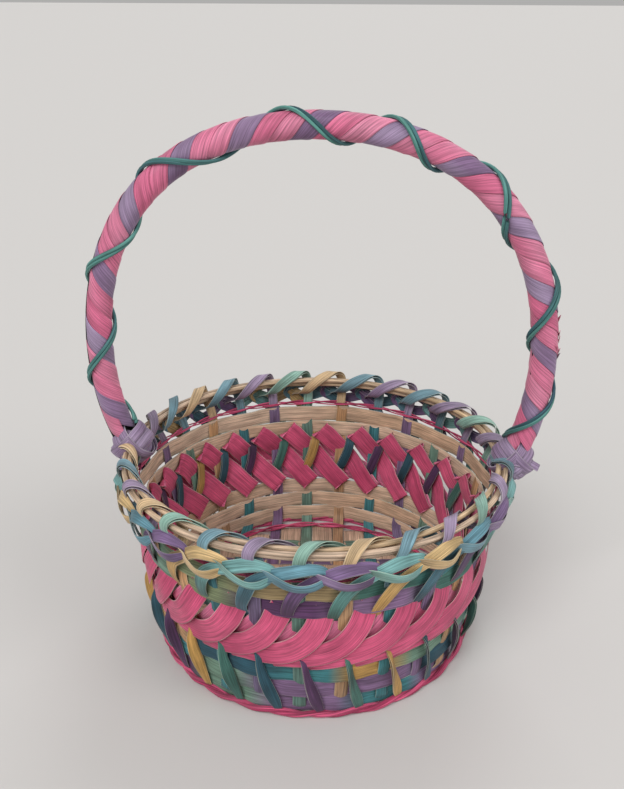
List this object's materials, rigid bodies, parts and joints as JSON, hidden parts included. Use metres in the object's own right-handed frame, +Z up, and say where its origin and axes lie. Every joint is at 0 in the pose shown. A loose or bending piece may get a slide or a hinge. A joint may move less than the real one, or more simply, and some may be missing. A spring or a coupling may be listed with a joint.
{
  "type": "easter basket",
  "caption": "Round woven splint basket with a wrapped hoop handle, dyed uprights, a twisted ribbon band and a curled border over a reed rim.",
  "frame": {"origin": "on the floor at the middle of the foot ring", "axes": "+Z up, the handle stands in the XZ plane, +Y to the back"},
  "size_m": [0.319, 0.2852, 0.3654],
  "materials": {
    "natural_splint": "matte",
    "teal_splint": "matte",
    "purple_splint": "matte",
    "green_splint": "matte",
    "orange_splint": "matte",
    "blue_splint": "matte",
    "mint_splint": "matte",
    "pink_splint": "matte",
    "pink_twine": "matte",
    "natural_reed": "matte",
    "green_reed": "matte"
  },
  "bodies": {
    "root": {"stake_along_1": "orange_splint", "stake_along_2": "teal_splint", "stake_along_3": "purple_splint", "stake_along_4": "green_splint", "stake_along_5": "orange_splint", "stake_along_6": "teal_splint", "stake_along_7": "purple_splint", "stake_across_1": "orange_splint", "stake_across_2": "purple_splint", "stake_across_3": "green_splint", "stake_across_4": "teal_splint", "stake_across_5": "orange_splint", "stake_across_6": "purple_splint", "stake_across_7": "green_splint", "base_splint_along_1": "natural_splint", "base_splint_along_2": "natural_splint", "base_splint_along_3": "natural_splint", "base_splint_along_4": "natural_splint", "base_splint_along_5": "natural_splint", "base_splint_along_6": "natural_splint", "base_splint_across_1": "natural_splint", "base_splint_across_2": "natural_splint", "base_splint_across_3": "natural_splint", "base_splint_across_4": "natural_splint", "base_splint_across_5": "natural_splint", "base_splint_across_6": "natural_splint", "lower_weaver_1": "purple_splint", "lower_weaver_2": "green_splint", "lower_weaver_3": "teal_splint", "upper_weaver_1": "green_splint", "upper_weaver_2": "orange_splint", "twisted_ribbon": "pink_splint", "rim_twine_a": "pink_twine", "rim_twine_b": "pink_twine", "base_twine_a": "pink_twine", "base_twine_b": "pink_twine", "foot_twine_a": "pink_twine", "foot_twine_b": "pink_twine", "rim_rod_inner": "natural_reed", "rim_rod_outer": "natural_reed", "rim_rod_lower": "natural_reed", "border_strands_blue": "blue_splint", "border_strands_purple": "purple_splint", "border_strands_mint": "mint_splint", "border_strands_natural": "natural_splint", "handle_cane_1": "natural_reed", "handle_cane_2": "natural_reed", "handle_cane_3": "natural_reed", "handle_wrap_pink_1": "pink_splint", "handle_wrap_pink_2": "pink_splint", "handle_wrap_purple": "purple_splint", "handle_vine_1": "green_reed", "handle_vine_2": "green_reed", "handle_lashing_right": "purple_splint", "handle_lashing_left": "purple_splint"}
  },
  "joints": []
}
